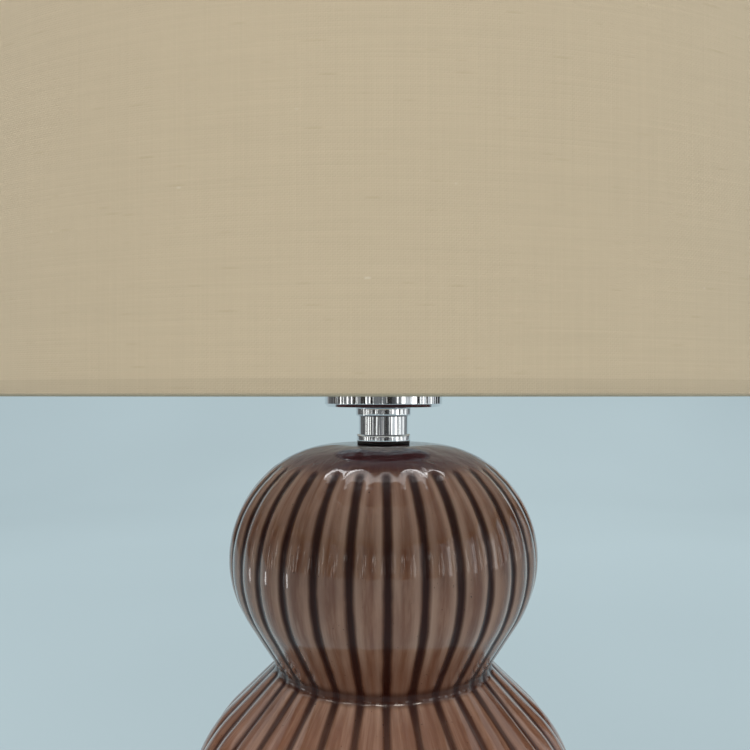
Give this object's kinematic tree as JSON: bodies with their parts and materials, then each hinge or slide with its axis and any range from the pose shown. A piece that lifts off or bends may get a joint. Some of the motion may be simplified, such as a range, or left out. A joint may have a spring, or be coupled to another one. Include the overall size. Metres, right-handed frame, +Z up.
{
  "type": "table lamp",
  "caption": "Table lamp with a ribbed double-gourd glazed ceramic body, chromed neck and cup, screw lampholder with lamp, and a linen drum shade on a wire carrier.",
  "frame": {"origin": "centre of the felt's underside, on the lamp's axis, where it stands on a table", "axes": "+Z up along the lamp's axis, -Y towards the picture's viewer, cord inlet at the back on +Y"},
  "size_m": [0.3799, 0.38, 0.4821],
  "materials": {
    "glaze": "high-gloss brown glaze, darker where it pools",
    "felt": "dense black felt",
    "steel": "zinc-plated steel",
    "rubber": "soft black rubber",
    "chrome": "polished chrome plate",
    "holder_plastic": "black moulded lampholder plastic",
    "porcelain": "white unglazed porcelain",
    "brass": "plain brass",
    "linen": "taupe linen weave with slubs",
    "liner_film": "white film liner",
    "white_wire": "white powder coat",
    "lamp_white": "white lamp housing",
    "opal_glass": "frosted opal glass",
    "nickel": "nickel-plated lamp cap",
    "black_glass": "black vitrite insulator"
  },
  "bodies": {
    "base": {"ceramic_body": "glaze", "base_felt": "felt", "base_plate": "steel", "base_washer": "steel", "base_nut": "steel", "center_rod": "steel", "cord_grommet": "rubber", "neck_gasket": "rubber", "neck": "chrome", "holder_cup": "chrome", "cup_nut": "steel", "holder_cap": "holder_plastic", "grub_screw": "steel", "holder_core": "porcelain", "terminal_screws": "brass", "screw_shell": "brass", "center_contact": "brass", "holder_skirt": "holder_plastic"},
    "shade": {"shade_fabric": "linen", "shade_liner": "liner_film", "bottom_wire": "white_wire", "top_wire": "white_wire", "spokes": "white_wire", "fitter_ring": "white_wire"},
    "shade_ring": {"shade_ring": "holder_plastic"},
    "lamp_tip": {"lamp_contact": "brass"},
    "lamp": {"lamp_insulator": "black_glass", "lamp_cap": "nickel", "lamp_housing": "lamp_white", "lamp_globe": "opal_glass"}
  },
  "joints": [
    {"name": "shade_swivel", "type": "hinge", "parent": "base", "child": "shade", "pos_m": [0, 0, 0.2822], "axis": [0, 0, 1], "continuous": true},
    {"name": "shade_ring_lift", "type": "slide", "parent": "base", "child": "shade_ring", "axis": [0, 0, 1], "range_m": [0, 0.008]},
    {"name": "lamp_lift", "type": "slide", "parent": "base", "child": "lamp_tip", "axis": [0, 0, 1], "range_m": [0, 0.0182]},
    {"name": "lamp_turn", "type": "hinge", "parent": "lamp_tip", "child": "lamp", "pos_m": [0, 0, 0.2747], "axis": [0, 0, 1], "range_deg": [0, 1800]}
  ],
  "couplings": [
    {"joint": "lamp_lift", "follows": "lamp_turn", "m_per_rad": 0.00057614}
  ]
}
